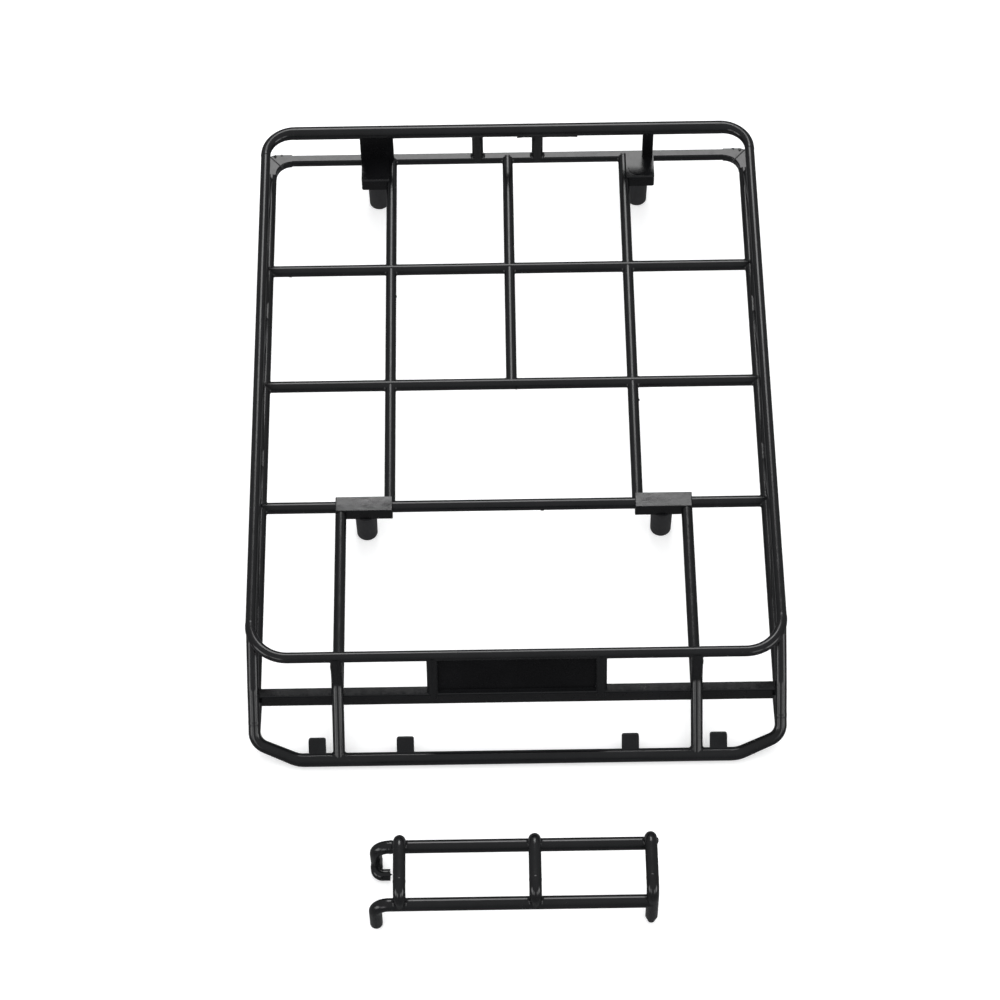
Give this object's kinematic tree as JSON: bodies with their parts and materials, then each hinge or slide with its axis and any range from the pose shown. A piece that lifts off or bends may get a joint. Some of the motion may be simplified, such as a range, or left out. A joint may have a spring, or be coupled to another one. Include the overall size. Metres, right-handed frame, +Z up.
{
  "type": "scale model roof luggage rack",
  "caption": "Black moulded plastic roof luggage rack for a hobby-scale vehicle, with raised rails, a sloping nose with lamp tabs, underside screw bosses and a separate clip-on ladder.",
  "frame": {"origin": "on the surface that the rack and ladder stand on, under the middle of the box round both", "axes": "+Z up, +Y towards the rear of the rack, +X to the right when looking along +Y"},
  "size_m": [0.117, 0.1994, 0.0226],
  "materials": {
    "rack_plastic": "satin to semi-gloss moulded black plastic",
    "ladder_plastic": "satin to semi-gloss moulded black plastic"
  },
  "bodies": {
    "rack": {"boss_plate_front_left": "rack_plastic", "boss_plate_front_right": "rack_plastic", "boss_plate_rear_left": "rack_plastic", "boss_plate_rear_right": "rack_plastic", "corner_strut_left": "rack_plastic", "corner_strut_right": "rack_plastic", "floor_crossbar_1": "rack_plastic", "floor_crossbar_2": "rack_plastic", "floor_crossbar_3": "rack_plastic", "floor_stringer_centre": "rack_plastic", "floor_stringer_left": "rack_plastic", "floor_stringer_right": "rack_plastic", "front_post_left": "rack_plastic", "front_post_right": "rack_plastic", "front_sill": "rack_plastic", "front_stringer_left": "rack_plastic", "front_stringer_right": "rack_plastic", "lamp_tabs": "rack_plastic", "light_panel": "rack_plastic", "light_panel_post_left": "rack_plastic", "light_panel_post_right": "rack_plastic", "lower_corner_rear_left": "rack_plastic", "lower_corner_rear_right": "rack_plastic", "lower_rail_left": "rack_plastic", "lower_rail_rear": "rack_plastic", "lower_rail_right": "rack_plastic", "nose_bar": "rack_plastic", "nose_corner_left": "rack_plastic", "nose_corner_right": "rack_plastic", "nose_leg_left": "rack_plastic", "nose_leg_right": "rack_plastic", "rear_backing_plate": "rack_plastic", "rear_centre_struts": "rack_plastic", "rear_strut_right": "rack_plastic", "screw_boss_front_left": "rack_plastic", "screw_boss_front_right": "rack_plastic", "screw_boss_rear_left": "rack_plastic", "screw_boss_rear_right": "rack_plastic", "side_lattice_left": "rack_plastic", "side_lattice_right": "rack_plastic", "top_corner_front_left": "rack_plastic", "top_corner_front_right": "rack_plastic", "top_corner_rear_left": "rack_plastic", "top_corner_rear_right": "rack_plastic", "top_rail_front": "rack_plastic", "top_rail_left": "rack_plastic", "top_rail_rear": "rack_plastic", "top_rail_right": "rack_plastic"},
    "ladder": {"ladder_hook": "ladder_plastic", "ladder_leg_front": "ladder_plastic", "ladder_leg_rear": "ladder_plastic", "ladder_peg": "ladder_plastic", "ladder_rung_left": "ladder_plastic", "ladder_rung_middle": "ladder_plastic", "ladder_rung_right": "ladder_plastic", "ladder_stile_front": "ladder_plastic", "ladder_stile_rear": "ladder_plastic"}
  },
  "joints": [
    {"name": "ladder_lift", "type": "slide", "parent": "rack", "child": "ladder", "axis": [0, 0, 1], "range_m": [0, 0.1]}
  ]
}
